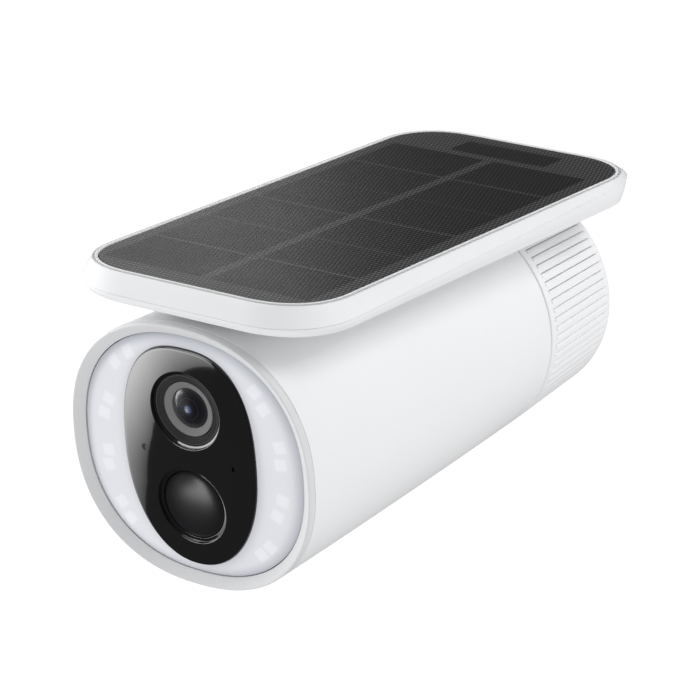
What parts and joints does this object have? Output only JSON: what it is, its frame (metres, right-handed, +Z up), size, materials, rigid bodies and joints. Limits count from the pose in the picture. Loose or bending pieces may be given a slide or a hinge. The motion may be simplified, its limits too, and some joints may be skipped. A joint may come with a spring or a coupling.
{
  "type": "solar-powered security camera",
  "caption": "Cylindrical outdoor camera with a floodlight face, a fluted rear collar, a rear tripod thread and a solar panel that turns on top.",
  "frame": {"origin": "centre of the tripod thread's mouth on the rear plate", "axes": "+Y out of the rear along the barrel's axis and the thread, -Y the way the camera looks, +Z up to the panel, +X to the camera's left-hand side as it looks out"},
  "size_m": [0.0832, 0.1815, 0.0868],
  "materials": {
    "white_shell": "fine satin moulded plastic",
    "rubber_black": "matt",
    "diffuser": "milky translucent",
    "black_glass": "high gloss",
    "baffle": "fine ribs",
    "lens_glass": "coated",
    "black_plastic": "matt",
    "pir_plastic": "gloss",
    "circuit_board": "solder mask",
    "steel": "plain",
    "window": "smoked",
    "gold": "plated",
    "led_board": "white solder mask",
    "led": "phosphor",
    "grey_plastic": "moulded",
    "battery": "shrink sleeve",
    "brass": "knurled insert",
    "port_rubber": "matt",
    "washer": "acetal",
    "laminate": "embossed film",
    "cells": "silicon"
  },
  "bodies": {
    "camera": {"barrel_shell": "white_shell", "bezel_ring": "white_shell", "front_gasket": "rubber_black", "diffuser_ring": "diffuser", "front_panel": "black_glass", "lens_baffle": "baffle", "lens_retainer": "baffle", "front_lens": "lens_glass", "lens_barrel": "black_plastic", "sensor_board": "circuit_board", "pir_dome": "pir_plastic", "pir_sensor": "steel", "light_window": "window", "microphone": "gold", "led_board": "led_board", "led_emitters": "led", "front_carrier": "grey_plastic", "carrier_screws": "steel", "chassis": "grey_plastic", "main_board": "circuit_board", "shield_cans": "steel", "battery_tray": "grey_plastic", "battery_cells": "battery", "speaker": "black_plastic", "antenna": "gold", "end_plate": "grey_plastic", "tripod_insert": "brass", "end_seal": "rubber_black", "end_screws": "steel", "usb_socket": "steel", "card_slot": "steel", "button_switches": "steel", "spring_contacts": "gold", "swivel_washer": "washer"},
    "collar": {"rear_collar": "white_shell"},
    "port_cover": {"port_cover": "port_rubber"},
    "power_button": {"power_button": "port_rubber"},
    "sync_button": {"sync_button": "port_rubber"},
    "solar_panel": {"panel_frame": "white_shell", "panel_base": "white_shell", "solar_laminate": "laminate", "solar_cells": "cells", "cell_backing": "grey_plastic", "junction_block": "black_plastic", "swivel_post": "grey_plastic", "swivel_ring": "steel", "contact_board": "circuit_board", "panel_screws": "steel", "swivel_screws": "steel"}
  },
  "joints": [
    {"name": "panel_turn", "type": "hinge", "parent": "camera", "child": "solar_panel", "pos_m": [0, -0.08368, 0.03741], "axis": [0, 0.0419, 0.9991], "range_deg": [-90, 90]},
    {"name": "collar_turn", "type": "hinge", "parent": "camera", "child": "collar", "pos_m": [0, -0.02, 0], "axis": [0, 1, 0], "range_deg": [0, 45]},
    {"name": "port_cover_swing", "type": "hinge", "parent": "camera", "child": "port_cover", "pos_m": [0, -0.0003, -0.0217], "axis": [1, 0, 0], "range_deg": [-110, 0]},
    {"name": "power_button_press", "type": "slide", "parent": "camera", "child": "power_button", "axis": [0, -1, 0], "range_m": [0, 0.0008], "stiffness_N_per_m": 1500},
    {"name": "sync_button_press", "type": "slide", "parent": "camera", "child": "sync_button", "axis": [0, -1, 0], "range_m": [0, 0.0008], "stiffness_N_per_m": 1500}
  ]
}
